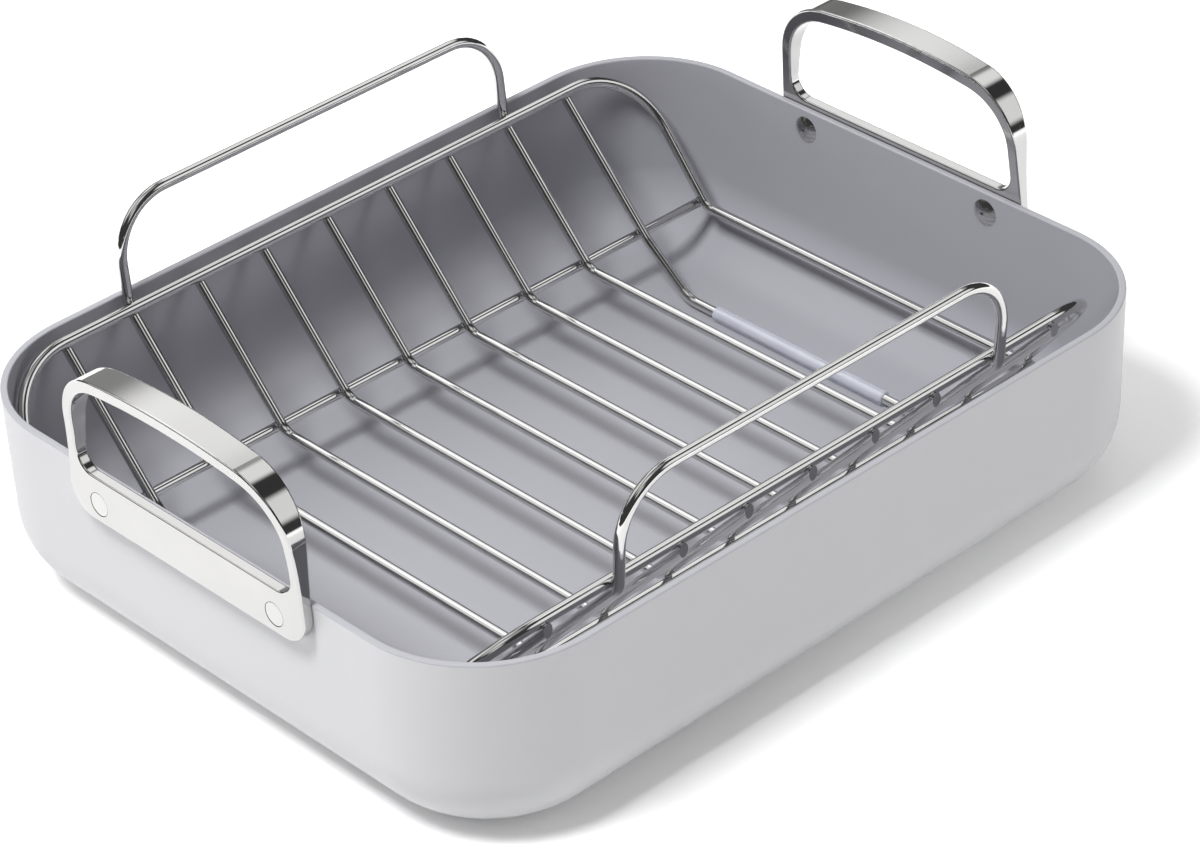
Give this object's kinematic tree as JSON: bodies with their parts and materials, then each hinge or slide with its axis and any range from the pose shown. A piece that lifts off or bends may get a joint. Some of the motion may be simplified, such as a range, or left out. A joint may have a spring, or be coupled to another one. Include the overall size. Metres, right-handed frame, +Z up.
{
  "type": "roasting pan with rack",
  "caption": "Rectangular roasting pan with riveted arched handles and a lift-out V-shaped wire rack with upright hoop handles.",
  "frame": {"origin": "middle of the pan's flat base, on the surface it stands on", "axes": "+Z up, +X along the long side from the left handle to the right handle, +Y from the front long side to the rear one"},
  "size_m": [0.4276, 0.3276, 0.15],
  "materials": {
    "coated_pan": "satin ceramic coating, light grey outside and a darker grey inside",
    "handle_steel": "polished stainless steel",
    "rivet_steel": "polished stainless steel",
    "rack_steel": "polished stainless steel wire",
    "clear_silicone": "clear silicone tube"
  },
  "bodies": {
    "pan": {"pan_shell": "coated_pan", "pan_handle_left": "handle_steel", "pan_handle_right": "handle_steel", "handle_rivets": "rivet_steel"},
    "rack": {"rack_frame_wire": "rack_steel", "rack_hoop_wire": "rack_steel", "cross_wire_1": "rack_steel", "cross_wire_2": "rack_steel", "cross_wire_3": "rack_steel", "cross_wire_4": "rack_steel", "cross_wire_5": "rack_steel", "foot_wire_left": "rack_steel", "foot_wire_right": "rack_steel", "long_wire_front": "rack_steel", "long_wire_rear": "rack_steel", "foot_sleeve_left": "clear_silicone", "foot_sleeve_right": "clear_silicone"}
  },
  "joints": [
    {"name": "rack_lift", "type": "slide", "parent": "pan", "child": "rack", "axis": [0, 0, 1], "range_m": [0, 0.16]}
  ]
}
